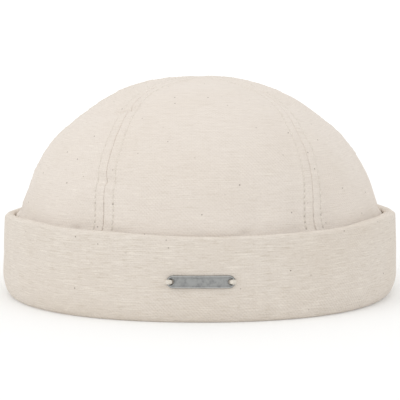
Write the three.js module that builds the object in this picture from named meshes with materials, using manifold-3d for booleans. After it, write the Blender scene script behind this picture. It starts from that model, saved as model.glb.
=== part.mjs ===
// Docker cap: a brimless cap of six canvas gores over a turned-up canvas cuff, with a small metal plate
// sewn on the front of the cuff.
// Millimetres, +Z up. The origin is the middle of the footprint, on the surface that the cap rests on.
// The front faces -Y, and +X is to the right of someone who looks at the front.

import * as THREE from 'three';
import { mergeVertices } from 'three/addons/utils/BufferGeometryUtils.js';
import Module from 'manifold-3d';

const wasm = await Module();
wasm.setup();

// Driving dimensions

const headHalfWidth = 84.5; // inside of the crown's lower edge, from the middle to a side
const headHalfLength = 99.5; // inside of the crown's lower edge, from the middle to the front
const ovalPower = 2.15; // 2 is an ellipse, and a little more fills the oval's corners
const crownWall = 1.5; // canvas with its seam allowances
const crownTop = 99.2; // top of the crown above the surface
const crownTurn = 3.3; // degrees that the front gore stands to the right of the plate
const crownEye = 1.5; // half-width of the small eye where the gores' points meet
const panelPuff = 0.7; // how far a gore swells between its seams
const seamGap = 0.3; // between one gore and the next
const seatGap = 0.3; // between the cuff and what sits on it
const trough = 2.8; // between the foot of the crown and the cuff round it
const cuffWall = 2.8; // doubled canvas
const cuffHeight = 36.5; // the rim's usual height
const foldInset = 3.9; // how far the cuff's lower fold curves in
const foldRise = 11; // height of the lower fold's curve
const rimInset = 0.9; // how far the cuff leans in at its rim
const plateLength = 28.5;
const plateWidth = 5.3;
const plateThickness = 0.8;
const plateHeight = 17.5; // middle of the plate above the surface
const plateAside = 0.4; // middle of the plate to the right of the cuff's middle
const plateHoleRadius = 1.1;
const plateHoleFromEnd = 1.85;
const tackDepth = 0.8; // thread tack, measured away from the cuff
const tackWidth = 1.5; // thread tack, measured up the cuff
const tackGap = 0.25; // between the thread and the plate

// Mesh fineness

const panelRows = 26;
const panelColumns = 9;
const cuffSteps = 96;
const foldSteps = 5;
const wallSteps = 4;
const rimSteps = 4;
const plateSteps = 22;
const tackSteps = 12;

// Materials

const canvas = { color: 0xddd1c3, roughness: 0.92, metalness: 0 };
const pewter = { color: 0x8d8a86, roughness: 0.42, metalness: 0.9 };
const thread = { color: 0xe4dccb, roughness: 0.85, metalness: 0 };

// The crown's profile, from its lower edge to its top. Height is a share of the crown's height, halfWidth
// and halfLength are shares of the lower edge's, and spread turns the front and back seams to the sides.
// The loose cloth bulges against the cuff just below the cuff's rim.
const crownProfile = [
  { height: 0.0, halfWidth: 1.0, halfLength: 1.0, spread: 1.0 },
  { height: 0.15, halfWidth: 1.005, halfLength: 1.002, spread: 1.0 },
  { height: 0.285, halfWidth: 1.011, halfLength: 1.0035, spread: 1.0 },
  { height: 0.33, halfWidth: 0.996, halfLength: 0.994, spread: 1.0 },
  { height: 0.362, halfWidth: 0.972, halfLength: 0.984, spread: 1.0 },
  { height: 0.42, halfWidth: 0.951, halfLength: 0.971, spread: 1.01 },
  { height: 0.55, halfWidth: 0.894, halfLength: 0.938, spread: 1.07 },
  { height: 0.68, halfWidth: 0.801, halfLength: 0.882, spread: 1.14 },
  { height: 0.78, halfWidth: 0.692, halfLength: 0.808, spread: 1.22 },
  { height: 0.86, halfWidth: 0.571, halfLength: 0.71, spread: 1.34 },
  { height: 0.92, halfWidth: 0.446, halfLength: 0.59, spread: 1.45 },
  { height: 0.962, halfWidth: 0.32, halfLength: 0.45, spread: 1.5 },
  { height: 0.99, halfWidth: 0.172, halfLength: 0.25, spread: 1.5 },
  { height: 1.0, halfWidth: 0.0, halfLength: 0.0, spread: 1.48 },
];

// Dents and creases of the crown. Azimuth is in degrees from the front towards +X, and height is a share of
// the crown's height. Length and breadth are shares of headHalfWidth, turn tilts the length up from level in
// degrees, and depth is a share of crownWall, positive inwards.
const crownDents = [
  { azimuth: -52, height: 0.85, length: 0.13, breadth: 0.035, turn: 22, depth: 0.55 },
  { azimuth: -31, height: 0.57, length: 0.07, breadth: 0.03, turn: 0, depth: 0.6 },
  { azimuth: -36, height: 0.4, length: 0.05, breadth: 0.11, turn: 8, depth: 0.5 },
  { azimuth: -22, height: 0.42, length: 0.12, breadth: 0.08, turn: -10, depth: 0.35 },
  { azimuth: 31, height: 0.42, length: 0.05, breadth: 0.12, turn: -8, depth: 0.6 },
  { azimuth: 42, height: 0.4, length: 0.05, breadth: 0.09, turn: 0, depth: 0.5 },
  { azimuth: -14, height: 0.7, length: 0.14, breadth: 0.05, turn: -8, depth: 0.35 },
  { azimuth: 74, height: 0.66, length: 0.16, breadth: 0.06, turn: 12, depth: 0.4 },
  { azimuth: 132, height: 0.6, length: 0.15, breadth: 0.06, turn: -15, depth: 0.45 },
  { azimuth: -120, height: 0.68, length: 0.18, breadth: 0.06, turn: 14, depth: 0.45 },
  { azimuth: 176, height: 0.5, length: 0.16, breadth: 0.07, turn: 4, depth: 0.4 },
];

// The cuff round the cap, a row every 15 degrees from the back, over the left, to the front and on.
// Rim is a share of cuffHeight. Push is a share of cuffWall by which the wall stands out. Fold is a share of
// foldInset, and is larger where the lower fold is rounder, on the cap's right.
const cuffRound = [
  { azimuth: -180, rim: 0.95, push: -0.3, fold: 1 },
  { azimuth: -165, rim: 0.95, push: -0.28, fold: 1 },
  { azimuth: -150, rim: 0.94, push: -0.2, fold: 1 },
  { azimuth: -135, rim: 0.935, push: -0.1, fold: 1 },
  { azimuth: -120, rim: 0.938, push: -0.02, fold: 1 },
  { azimuth: -105, rim: 0.951, push: -0.02, fold: 1.05 },
  { azimuth: -90, rim: 0.983, push: -0.12, fold: 1.1 },
  { azimuth: -75, rim: 1.02, push: -0.14, fold: 1.05 },
  { azimuth: -60, rim: 1.037, push: -0.12, fold: 1 },
  { azimuth: -45, rim: 1.034, push: -0.08, fold: 1 },
  { azimuth: -30, rim: 1.02, push: -0.16, fold: 1 },
  { azimuth: -15, rim: 1.003, push: -0.26, fold: 1 },
  { azimuth: 0, rim: 0.992, push: -0.3, fold: 1 },
  { azimuth: 15, rim: 0.991, push: -0.24, fold: 1 },
  { azimuth: 30, rim: 1.006, push: -0.16, fold: 1.03 },
  { azimuth: 45, rim: 1.03, push: -0.14, fold: 1.15 },
  { azimuth: 60, rim: 1.055, push: -0.08, fold: 1.35 },
  { azimuth: 75, rim: 1.045, push: -0.02, fold: 1.5 },
  { azimuth: 90, rim: 1.008, push: 0, fold: 1.4 },
  { azimuth: 105, rim: 0.995, push: 0.04, fold: 1.15 },
  { azimuth: 120, rim: 0.98, push: -0.02, fold: 1.03 },
  { azimuth: 135, rim: 0.97, push: -0.1, fold: 1 },
  { azimuth: 150, rim: 0.96, push: -0.2, fold: 1 },
  { azimuth: 165, rim: 0.95, push: -0.26, fold: 1 },
];

// Derived dimensions

const crownHalfWidth = headHalfWidth + crownWall;
const crownHalfLength = headHalfLength + crownWall;
const crownBase = cuffWall + seatGap;
const crownHeight = crownTop - crownBase;
const cuffHalfWidth = crownHalfWidth + trough + cuffWall;
const cuffHalfLength = crownHalfLength + trough + cuffWall;
const footReach = cuffWall + trough + crownWall; // from the cuff's widest wall to its foot's inner edge
const apex = crownProfile.length - 1; // the profile's last row

// Point of an oval at an azimuth in radians, counted from the front towards +X
function ovalPoint(halfWidth, halfLength, azimuth, z) {
  const side = Math.sin(azimuth);
  const ahead = Math.cos(azimuth);
  const fill = (Math.abs(side) ** ovalPower + Math.abs(ahead) ** ovalPower) ** (-1 / ovalPower);
  return new THREE.Vector3(halfWidth * fill * side, -halfLength * fill * ahead, z);
}

// Cubic through four neighbouring values, at a share of the way from the second to the third
function cubic(before, from, to, after, share) {
  const slopeFrom = (to - before) / 2;
  const slopeTo = (after - from) / 2;
  const bend = 2 * (from - to) + slopeFrom + slopeTo;
  return from + share * (slopeFrom + share * (to - from - slopeFrom - bend + share * bend));
}

// Value of the crown profile's column, with the place counted in rows from the lower edge
function profileAt(column, place) {
  const row = Math.min(Math.floor(place), apex - 1);
  const value = (index) => crownProfile[THREE.MathUtils.clamp(index, 0, apex)][column];
  return cubic(value(row - 1), value(row), value(row + 1), value(row + 2), place - row);
}

// Value of the cuff table's column at an azimuth in radians
function roundAt(column, azimuth) {
  const count = cuffRound.length;
  const place = (azimuth / (2 * Math.PI) + 0.5) * count;
  const row = Math.floor(place);
  const value = (index) => cuffRound[((index % count) + count) % count][column];
  return cubic(value(row - 1), value(row), value(row + 1), value(row + 2), place - row);
}

// The crown's outer surface, before its puffs and dents
function crownBody(azimuth, place) {
  return ovalPoint(
    crownHalfWidth * profileAt('halfWidth', place),
    crownHalfLength * profileAt('halfLength', place),
    azimuth,
    crownBase + crownHeight * profileAt('height', place),
  );
}

// Outward normal of the crown's body, from its slopes round the cap and up it
function crownNormal(azimuth, place) {
  const step = 1e-3;
  const round = crownBody(azimuth + step, place).sub(crownBody(azimuth - step, place));
  const up = crownBody(azimuth, place + step).sub(crownBody(azimuth, place - step));
  return round.cross(up).normalize();
}

// Place in the crown profile, counted in rows, where a column has a value
function placeWhere(column, wanted) {
  let low = 0;
  let high = apex;
  const rising = profileAt(column, high) > profileAt(column, low);
  for (let turn = 0; turn < 40; turn += 1) {
    const middle = (low + high) / 2;
    if (profileAt(column, middle) < wanted === rising) low = middle;
    else high = middle;
  }
  return (low + high) / 2;
}

// The dents as centres, directions and lengths on the crown
const dents = crownDents.map((dent) => {
  const azimuth = THREE.MathUtils.degToRad(dent.azimuth);
  const place = placeWhere('height', dent.height);
  const centre = crownBody(azimuth, place);
  const normal = crownNormal(azimuth, place);
  const level = new THREE.Vector3(0, 0, 1).cross(normal).normalize();
  const up = normal.clone().cross(level);
  const tilt = THREE.MathUtils.degToRad(dent.turn);
  return {
    centre,
    along: level.clone().multiplyScalar(Math.cos(tilt)).addScaledVector(up, Math.sin(tilt)),
    across: up.clone().multiplyScalar(Math.cos(tilt)).addScaledVector(level, -Math.sin(tilt)),
    normal,
    length: dent.length * headHalfWidth,
    breadth: dent.breadth * headHalfWidth,
    depth: dent.depth * crownWall,
  };
});

// How deep the crown is dented at a point. Each dent is a smooth hollow that fades over its length and its
// breadth.
function dentDepth(point, normal) {
  let depth = 0;
  for (const dent of dents) {
    if (normal.dot(dent.normal) < 0.3) continue;
    const offset = point.clone().sub(dent.centre);
    const along = offset.dot(dent.along) / dent.length;
    const across = offset.dot(dent.across) / dent.breadth;
    depth += dent.depth * Math.exp(-(along * along + across * across) / 2);
  }
  return depth;
}

// Closed geometry from points and triangles
function solid(points, triangles) {
  const geometry = new THREE.BufferGeometry();
  geometry.setAttribute('position', new THREE.Float32BufferAttribute(points.flatMap((p) => p.toArray()), 3));
  geometry.setIndex(triangles);
  return geometry;
}

// Closed slab between two grids of rows and columns. Outer is seen with its rows going up and its columns
// to the right.
function slab(outer, inner) {
  const rows = outer.length;
  const columns = outer[0].length;
  const points = [...outer.flat(), ...inner.flat()];
  const out = (row, column) => row * columns + column;
  const back = (row, column) => rows * columns + out(row, column);
  const triangles = [];
  const quad = (a, b, c, d) => triangles.push(a, b, c, a, c, d);
  for (let r = 0; r + 1 < rows; r += 1) {
    for (let c = 0; c + 1 < columns; c += 1) {
      quad(out(r, c), out(r, c + 1), out(r + 1, c + 1), out(r + 1, c));
      quad(back(r, c), back(r + 1, c), back(r + 1, c + 1), back(r, c + 1));
    }
    quad(out(r, 0), out(r + 1, 0), back(r + 1, 0), back(r, 0));
    quad(out(r, columns - 1), back(r, columns - 1), back(r + 1, columns - 1), out(r + 1, columns - 1));
  }
  for (let c = 0; c + 1 < columns; c += 1) {
    quad(out(0, c), back(0, c), back(0, c + 1), out(0, c + 1));
    quad(out(rows - 1, c), out(rows - 1, c + 1), back(rows - 1, c + 1), back(rows - 1, c));
  }
  return solid(points, triangles);
}

// Crown

const panelNames = [
  'crown_panel_front',
  'crown_panel_front_right',
  'crown_panel_back_right',
  'crown_panel_back',
  'crown_panel_back_left',
  'crown_panel_front_left',
];

// Azimuths that share the lower edge's oval into equal lengths, starting half a gore left of the front
function equalSeams(count) {
  const steps = 1440;
  const start = THREE.MathUtils.degToRad(crownTurn);
  const lengths = [0];
  const lower = (index) => crownBody(start + (2 * Math.PI * index) / steps, 0);
  for (let i = 0; i < steps; i += 1) lengths.push(lengths[i] + lower(i).distanceTo(lower(i + 1)));
  const azimuthAt = (share) => {
    const wanted = share * lengths[steps];
    const index = lengths.findIndex((length) => length >= wanted);
    const part = (wanted - lengths[index - 1]) / (lengths[index] - lengths[index - 1]);
    return start + (2 * Math.PI * (index - 1 + part)) / steps;
  };
  return Array.from({ length: count }, (_, seam) => azimuthAt((seam + 0.5) / count));
}

// Seams in order from the front one on the right, round by the back, to the front one on the left
const seams = equalSeams(panelNames.length);

// Azimuth of a seam at a place: front and back seams turn towards the sides as they climb
function seamAzimuth(index, place) {
  const turns = Math.floor(index / seams.length);
  const azimuth = seams[index - turns * seams.length];
  const facing = Math.PI * Math.round(azimuth / Math.PI);
  const sideSeam = Math.abs(azimuth - facing) > Math.PI / 3;
  const spread = sideSeam ? 1 : profileAt('spread', place);
  return facing + (azimuth - facing) * spread + 2 * Math.PI * turns;
}

const tipPlace = placeWhere('halfWidth', crownEye / crownHalfWidth);

// One gore, from the seam before it to the seam after it
function crownPanel(index) {
  const outer = [];
  const inner = [];
  for (let row = 0; row <= panelRows; row += 1) {
    const place = (tipPlace * row) / panelRows;
    const edge = (seam, direction) => {
      const azimuth = seamAzimuth(seam, place);
      const step = 1e-3;
      const speed = crownBody(azimuth + step, place).distanceTo(crownBody(azimuth, place)) / step;
      return azimuth + (direction * seamGap) / 2 / speed;
    };
    const from = edge(index - 1, 1);
    const to = edge(index, -1);
    const outerRow = [];
    const innerRow = [];
    for (let column = 0; column <= panelColumns; column += 1) {
      const share = column / panelColumns;
      const azimuth = THREE.MathUtils.lerp(from, to, share);
      const point = crownBody(azimuth, place);
      const normal = crownNormal(azimuth, place);
      const puff = panelPuff * Math.sin(Math.PI * share) ** 2 * Math.sin((Math.PI * place) / apex);
      const surface = point.clone().addScaledVector(normal, puff - dentDepth(point, normal));
      outerRow.push(surface);
      innerRow.push(surface.clone().addScaledVector(normal, -crownWall));
    }
    outer.push(outerRow);
    inner.push(innerRow);
  }
  return slab(outer, inner);
}

// Cuff

// How far the cuff's outer face lies inside its widest oval, at a height between a fold and a rim
function cuffInset(z, fold, rim) {
  if (z < foldRise) return fold * (1 - Math.sqrt(1 - (1 - z / foldRise) ** 2));
  return rimInset * ((z - foldRise) / (rim - foldRise)) ** 2;
}

function cuffPoint(azimuth, inset, z) {
  const out = cuffWall * roundAt('push', azimuth) * Math.min(z / foldRise, 1) - inset;
  return ovalPoint(cuffHalfWidth + out, cuffHalfLength + out, azimuth, z);
}

const rimAt = (azimuth) => cuffHeight * roundAt('rim', azimuth);

const foldAt = (azimuth) => foldInset * roundAt('fold', azimuth);

const cuffFace = (azimuth, z) => cuffPoint(azimuth, cuffInset(z, foldAt(azimuth), rimAt(azimuth)), z);

// The cuff's section at an azimuth: along the foot's underside, up the outside, over the rim and back down
function cuffSection(azimuth) {
  const rim = rimAt(azimuth);
  const fold = foldAt(azimuth);
  const rimRadius = cuffWall / 2;
  const shoulder = rim - rimRadius;
  const section = [cuffPoint(azimuth, footReach, 0)];
  for (let i = 0; i <= foldSteps; i += 1) {
    const z = foldRise * (1 - Math.cos((Math.PI / 2) * (i / foldSteps)));
    section.push(cuffPoint(azimuth, cuffInset(z, fold, rim), z));
  }
  for (let i = 1; i <= wallSteps; i += 1) {
    const z = THREE.MathUtils.lerp(foldRise, shoulder, i / wallSteps);
    section.push(cuffPoint(azimuth, cuffInset(z, fold, rim), z));
  }
  for (let i = 1; i < rimSteps; i += 1) {
    const angle = (Math.PI * i) / rimSteps;
    const inset = cuffInset(shoulder, fold, rim) + rimRadius * (1 - Math.cos(angle));
    section.push(cuffPoint(azimuth, inset, shoulder + rimRadius * Math.sin(angle)));
  }
  for (let i = wallSteps; i >= 0; i -= 1) {
    const z = THREE.MathUtils.lerp(foldRise, shoulder, i / wallSteps);
    section.push(cuffPoint(azimuth, cuffInset(z, fold, rim) + cuffWall, z));
  }
  section.push(cuffPoint(azimuth, cuffInset(cuffWall, fold, rim) + cuffWall, cuffWall));
  section.push(cuffPoint(azimuth, footReach, cuffWall));
  return section;
}

// Closed band through sections all the way round
function cuffBand() {
  const sections = [];
  for (let step = 0; step < cuffSteps; step += 1) {
    sections.push(cuffSection((2 * Math.PI * step) / cuffSteps));
  }
  const size = sections[0].length;
  const at = (step, corner) => (step % cuffSteps) * size + (corner % size);
  const triangles = [];
  for (let step = 0; step < cuffSteps; step += 1) {
    for (let corner = 0; corner < size; corner += 1) {
      const a = at(step, corner);
      const b = at(step + 1, corner);
      const c = at(step + 1, corner + 1);
      const d = at(step, corner + 1);
      triangles.push(a, b, c, a, c, d);
    }
  }
  return solid(sections.flat(), triangles);
}

// Plate

// Azimuth at a length along the cuff's face from its middle, at a height
function azimuthAlong(length, z) {
  const steps = 48;
  let azimuth = 0;
  for (let i = 0; i < steps; i += 1) {
    const probe = 1e-3;
    const speed = cuffFace(azimuth + probe, z).distanceTo(cuffFace(azimuth, z)) / probe;
    azimuth += length / steps / speed;
  }
  return azimuth;
}

// Point off the cuff's face: along it to the right of the plate's middle, up from it, and out from it
function offCuff(along, up, out) {
  const z = plateHeight + up;
  const azimuth = azimuthAlong(plateAside + along, plateHeight);
  const probe = 1e-3;
  const tangent = cuffFace(azimuth + probe, z).sub(cuffFace(azimuth - probe, z)).normalize();
  const outward = tangent.cross(new THREE.Vector3(0, 0, 1));
  return cuffFace(azimuth, z).addScaledVector(outward, out);
}

const plateFace = seatGap + plateThickness;
const holeAlong = plateLength / 2 - plateHoleFromEnd;

// Bar with round ends, bent to the cuff
function plateBlank() {
  const radius = plateWidth / 2;
  const outer = [[], [], []];
  const inner = [[], [], []];
  for (let i = 0; i <= plateSteps; i += 1) {
    const along = (-plateLength / 2) * Math.cos((Math.PI * i) / plateSteps);
    const intoEnd = Math.max(0, Math.abs(along) - (plateLength / 2 - radius));
    const half = Math.max(Math.sqrt(Math.max(0, radius ** 2 - intoEnd ** 2)), radius / 12);
    [-half, 0, half].forEach((up, row) => {
      outer[row].push(offCuff(along, up, plateFace));
      inner[row].push(offCuff(along, up, seatGap));
    });
  }
  return slab(outer, inner);
}

function toManifold(geometry) {
  const bare = geometry.clone();
  bare.deleteAttribute('normal');
  bare.deleteAttribute('uv');
  const merged = mergeVertices(bare, 1e-5);
  return new wasm.Manifold(
    new wasm.Mesh({
      numProp: 3,
      vertProperties: new Float32Array(merged.attributes.position.array),
      triVerts: new Uint32Array(merged.index.array),
    }),
  );
}

function fromManifold(manifold) {
  const mesh = manifold.getMesh();
  const geometry = new THREE.BufferGeometry();
  geometry.setAttribute('position', new THREE.BufferAttribute(new Float32Array(mesh.vertProperties), 3));
  geometry.setIndex(new THREE.BufferAttribute(new Uint32Array(mesh.triVerts), 1));
  return geometry;
}

// Round drill through the plate, square to the cuff at a length along it
function plateDrill(along) {
  const from = offCuff(along, 0, -1);
  const to = offCuff(along, 0, plateFace + 1);
  const drill = new THREE.CylinderGeometry(plateHoleRadius, plateHoleRadius, from.distanceTo(to), 16);
  const turn = new THREE.Quaternion().setFromUnitVectors(
    new THREE.Vector3(0, 1, 0),
    to.clone().sub(from).normalize(),
  );
  drill.applyQuaternion(turn);
  const middle = from.add(to).multiplyScalar(0.5);
  drill.translate(middle.x, middle.y, middle.z);
  return drill;
}

function plate() {
  let metal = toManifold(plateBlank());
  for (const side of [-1, 1]) metal = metal.subtract(toManifold(plateDrill(side * holeAlong)));
  return fromManifold(metal);
}

// Thread tack: out of the hole, over the plate's end and down beside it
function plateTack(side) {
  const over = plateFace + tackGap + tackDepth / 2;
  const beside = plateLength / 2 + tackGap + tackDepth / 2;
  const bend = tackDepth / 2;
  const path = new THREE.CatmullRomCurve3([
    offCuff(side * holeAlong, 0, seatGap),
    offCuff(side * holeAlong, 0, over - bend),
    offCuff(side * (holeAlong + bend), 0, over),
    offCuff(side * (beside - bend), 0, over),
    offCuff(side * beside, 0, over - bend),
    offCuff(side * beside, 0, seatGap),
  ]);
  const section = new THREE.Shape();
  section.absellipse(0, 0, tackWidth / 2, tackDepth / 2, 0, 2 * Math.PI);
  return new THREE.ExtrudeGeometry(section, {
    steps: tackSteps,
    curveSegments: 5,
    bevelEnabled: false,
    extrudePath: path,
  });
}

// The cap

function piece(name, geometry, finish) {
  const mesh = new THREE.Mesh(geometry, new THREE.MeshStandardMaterial(finish));
  mesh.name = name;
  return mesh;
}

const cap = new THREE.Group();
panelNames.forEach((name, index) => cap.add(piece(name, crownPanel(index), canvas)));
cap.add(piece('cuff', cuffBand(), canvas));
cap.add(piece('plate', plate(), pewter));
cap.add(piece('plate_tack_left', plateTack(-1), thread));
cap.add(piece('plate_tack_right', plateTack(1), thread));

export default cap;
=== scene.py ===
"""Docker cap of unbleached canvas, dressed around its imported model.

Its sections are crown, cuff, topstitching, plate and thread tacks, and then floor, light and camera.
"""

import math

import bpy
import numpy as np
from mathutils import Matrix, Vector


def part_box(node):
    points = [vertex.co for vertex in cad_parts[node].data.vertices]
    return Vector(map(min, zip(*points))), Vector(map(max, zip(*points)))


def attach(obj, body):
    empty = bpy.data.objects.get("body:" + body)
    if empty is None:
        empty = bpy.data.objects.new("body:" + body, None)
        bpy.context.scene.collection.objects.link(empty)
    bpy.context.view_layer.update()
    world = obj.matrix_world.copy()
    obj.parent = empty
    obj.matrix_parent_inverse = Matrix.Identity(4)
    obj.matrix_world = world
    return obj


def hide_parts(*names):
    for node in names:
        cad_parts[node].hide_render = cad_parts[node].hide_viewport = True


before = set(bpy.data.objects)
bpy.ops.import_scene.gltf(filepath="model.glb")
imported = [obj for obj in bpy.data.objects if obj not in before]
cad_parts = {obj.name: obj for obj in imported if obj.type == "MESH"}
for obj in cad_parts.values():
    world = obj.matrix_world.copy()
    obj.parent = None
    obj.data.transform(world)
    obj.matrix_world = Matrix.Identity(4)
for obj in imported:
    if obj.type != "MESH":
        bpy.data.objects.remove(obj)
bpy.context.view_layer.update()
MM = 0.001


# Crown
# Six gores of unbleached cotton canvas, sewn edge to edge into a dome that is longer than it is wide.
# Each gore is cut with its grain up its middle. Its edges are turned in at the seams, so the cloth lies
# double beside them, and two rows of topstitching hold the turnings down.

GORES = (
    "crown_panel_front",
    "crown_panel_front_right",
    "crown_panel_back_right",
    "crown_panel_back",
    "crown_panel_back_left",
    "crown_panel_front_left",
)
OVAL_POWER = 2.15  # 2 is an ellipse, and more is fuller at its corners
CROWN_TURN = math.radians(3.3)
PANEL_PUFF = 0.7 * MM
CROWN_SWELLS = 34 * MM, 0.22 * MM  # size and height
CROWN_RIPPLES = 13 * MM, 0.07 * MM
CROWN_WALL = 1.5 * MM
HEAD_HALF_WIDTH = 84.5 * MM
HEAD_HALF_LENGTH = 99.5 * MM

# The crown from its lower edge to its top, as shares of its height and of its lower edge's half-width and
# half-length. The loose cloth bulges against the cuff just below its rim. Spread turns the front and back
# seams towards the sides.
PROFILE = {
    "height": (0, 0.15, 0.285, 0.33, 0.362, 0.42, 0.55, 0.68, 0.78, 0.86, 0.92, 0.962, 0.99, 1),
    "half_width": (1, 1.005, 1.011, 0.996, 0.972, 0.951, 0.894, 0.801, 0.692, 0.571, 0.446, 0.32, 0.172, 0),
    "half_length": (1, 1.002, 1.0035, 0.994, 0.984, 0.971, 0.938, 0.882, 0.808, 0.71, 0.59, 0.45, 0.25, 0),
    "spread": (1, 1, 1, 1, 1, 1.01, 1.07, 1.14, 1.22, 1.34, 1.45, 1.5, 1.5, 1.48),
}

# Dents: azimuth in degrees, height as a share of the crown's, length and breadth as shares of the head's
# half-width, turn in degrees up from level, and depth as a share of the wall.
DENTS = (
    (-52, 0.85, 0.13, 0.035, 22, 0.55),
    (-31, 0.57, 0.07, 0.03, 0, 0.6),
    (-36, 0.4, 0.05, 0.11, 8, 0.5),
    (-22, 0.42, 0.12, 0.08, -10, 0.35),
    (31, 0.42, 0.05, 0.12, -8, 0.6),
    (42, 0.4, 0.05, 0.09, 0, 0.5),
    (-14, 0.7, 0.14, 0.05, -8, 0.35),
    (74, 0.66, 0.16, 0.06, 12, 0.4),
    (132, 0.6, 0.15, 0.06, -15, 0.45),
    (-120, 0.68, 0.18, 0.06, 14, 0.45),
    (176, 0.5, 0.16, 0.07, 4, 0.4),
)

# Fine creases that the cloth alone has, in the same units: one across the left front seam, one further up
# beside it, and nips where the crown is squeezed behind the cuff's rim.
CREASES = (
    (-31.5, 0.567, 0.06, 0.014, -2, 0.6),
    (-43, 0.868, 0.065, 0.012, 20, 0.85),
    (-38.5, 0.35, 0.02, 0.012, 0, 0.5),
    (-24, 0.35, 0.03, 0.01, 0, 0.12),
    (13, 0.35, 0.02, 0.012, 0, 0.5),
    (25, 0.35, 0.05, 0.01, 0, 0.15),
)

crown_base = min(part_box(name)[0].z for name in GORES)
crown_top = max(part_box(name)[1].z for name in GORES)
crown_half_width = HEAD_HALF_WIDTH + CROWN_WALL
crown_half_length = HEAD_HALF_LENGTH + CROWN_WALL
APEX = len(PROFILE["height"]) - 1

ROLL = 0.45 * MM  # radius of a gore's turned edge
RIDGE = 0.32 * MM  # how far the doubled cloth beside a seam stands up
RIDGE_PAST = 1.1 * MM  # how far it reaches past its row of stitches
RIDGE_FADE = 0.35 * MM
SETTLE = 0.35 * MM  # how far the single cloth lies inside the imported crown
STITCH_ROW = 4.7 * MM  # from a seam to its row of stitches
STITCH_PITCH = 2.7 * MM
MOST_STITCHES = 80
CHANNEL = 0.34 * MM  # how deep the thread draws the cloth in
CHANNEL_HALF = 0.5 * MM
PUCKER = 0.2 * MM
PUCKER_SIZES = (5.1 * MM, 7.7 * MM, 12.3 * MM)
PUCKER_FADE = 6 * MM
NEEDLE_HALF = 0.36 * MM  # half the width of a needle hole
SEAM_HALF = 0.35 * MM
TIGHT_AT = 38 * MM  # height up a seam at which its stitches are drawn tightest
TIGHT_OVER = 13 * MM
# The needle holes' darkening is painted shade; these set how strongly it shows away from the tightest
# stitches and in the seam.
LOOSE_HOLE_SHADE = 0.16  # how much the needle holes show elsewhere, as a share of the tightest
SEAM_HOLE_SHADE = 0.4
SEAM_COLUMNS = np.array(
    (0, 0.1, 0.22, 0.4, 0.65, 1.2, 2.0, 2.7, 3.4, 3.9, 4.2, 4.45, 4.7, 4.95, 5.2, 5.5, 6.0, 6.8, 8.0)
) * MM
STRIP_MOST = 0.4  # of a gore's width, for the columns beside each of its seams
MIDDLE_COLUMNS = 56
GORE_ROWS = 200
TIP_SHARE = 0.004  # of the crown's half-width, where the gores end just short of the top

# Grains of the cloth: long and short slubs, long and short thin places, warp threads and clouding. Each has
# its colour, its size across and up in millimetres, the two noise values that it fades in between, how much
# it tints the cloth, and how thick it stands in millimetres.
CLOTH_GRAINS = (
    ("#f3ece1", 16, 0.55, 0.55, 0.76, 0.4, 0.025),
    ("#f3ece1", 5.5, 0.5, 0.56, 0.74, 0.4, 0.03),
    ("#b4a793", 9, 0.5, 0.44, 0.2, 0.35, -0.015),
    ("#b4a793", 3.2, 0.45, 0.42, 0.2, 0.3, -0.015),
    ("#c8bba8", 0.5, 6, 0.52, 0.75, 0.12, -0.005),
    ("#cfc2b2", 45, 32, 0.4, 0.75, 0.2, 0.0),
)
THREAD_SPACING = 0.8 * MM  # real threads lie about 0.5 mm apart, too close to show
WEAVE_DEPTH = 0.035 * MM
FLECK_EDGE = 0.42  # radius in millimetres at which a fleck of seed coat begins to darken
FLECK_HEART = 0.2


def through_rows(column, place):
    """Value of a table's column at a place counted in rows: a cubic through the four rows around it."""
    rows = np.asarray(column, float)
    last = len(rows) - 1
    row = np.clip(np.floor(place).astype(int), 0, last - 1)
    share = place - row
    before, start, end, after = (rows[np.clip(row + step, 0, last)] for step in (-1, 0, 1, 2))
    slope_start, slope_end = (end - before) / 2, (after - start) / 2
    bend = 2 * (start - end) + slope_start + slope_end
    return start + share * (slope_start + share * (end - start - slope_start - bend + share * bend))


def oval(half_width, half_length, azimuth, z):
    """Points of an oval by azimuth from the front.

    The sine and cosine of the azimuth are pushed out until their powers add up to 1.
    """
    side, ahead = np.sin(azimuth), np.cos(azimuth)
    fill = (np.abs(side) ** OVAL_POWER + np.abs(ahead) ** OVAL_POWER) ** (-1 / OVAL_POWER)
    return np.stack(np.broadcast_arrays(half_width * fill * side, -half_length * fill * ahead, z), -1)


def crown_body(azimuth, place):
    """The dome before its seams and dents: at each place up the profile, an oval of that row's size."""
    return oval(
        crown_half_width * through_rows(PROFILE["half_width"], place),
        crown_half_length * through_rows(PROFILE["half_length"], place),
        azimuth,
        crown_base + (crown_top - crown_base) * through_rows(PROFILE["height"], place),
    )


def outward(surface, across, up, step=1e-3):
    """Unit normals of a surface of two parameters: the cross product of its two slopes."""
    slope_across = surface(across + step, up) - surface(across - step, up)
    slope_up = surface(across, up + step) - surface(across, up - step)
    normal = np.cross(slope_across, slope_up)
    return normal / np.maximum(np.linalg.norm(normal, axis=-1, keepdims=True), 1e-12)


def lengths_along(points):
    """Running length of a polyline, or of each row of a grid along its second-last axis."""
    steps = np.linalg.norm(np.diff(points, axis=-2), axis=-1)
    return np.concatenate([np.zeros_like(steps[..., :1]), np.cumsum(steps, -1)], -1)


def waves(points, size, height, seed, count=24):
    """Soft unevenness of cloth: a sum of sine waves of about one size, in random, seeded directions."""
    random = np.random.default_rng(seed)
    direction = random.normal(size=(count, 3))
    direction /= np.linalg.norm(direction, axis=1, keepdims=True)
    number = 2 * math.pi / (size * random.uniform(0.7, 1.5, count))
    phase = random.uniform(0, 2 * math.pi, count)
    return height * np.sin(points @ (direction * number[:, None]).T + phase).sum(-1) / math.sqrt(count / 2)


def seam_azimuths():
    """Azimuths that share the lower edge into equal lengths, from half a gore to the right of the front."""
    azimuth = CROWN_TURN + np.linspace(0, 2 * math.pi, 1441)
    length = lengths_along(crown_body(azimuth, np.zeros_like(azimuth)))
    return np.interp((np.arange(len(GORES)) + 0.5) / len(GORES), length / length[-1], azimuth)


SEAMS = seam_azimuths()


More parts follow.
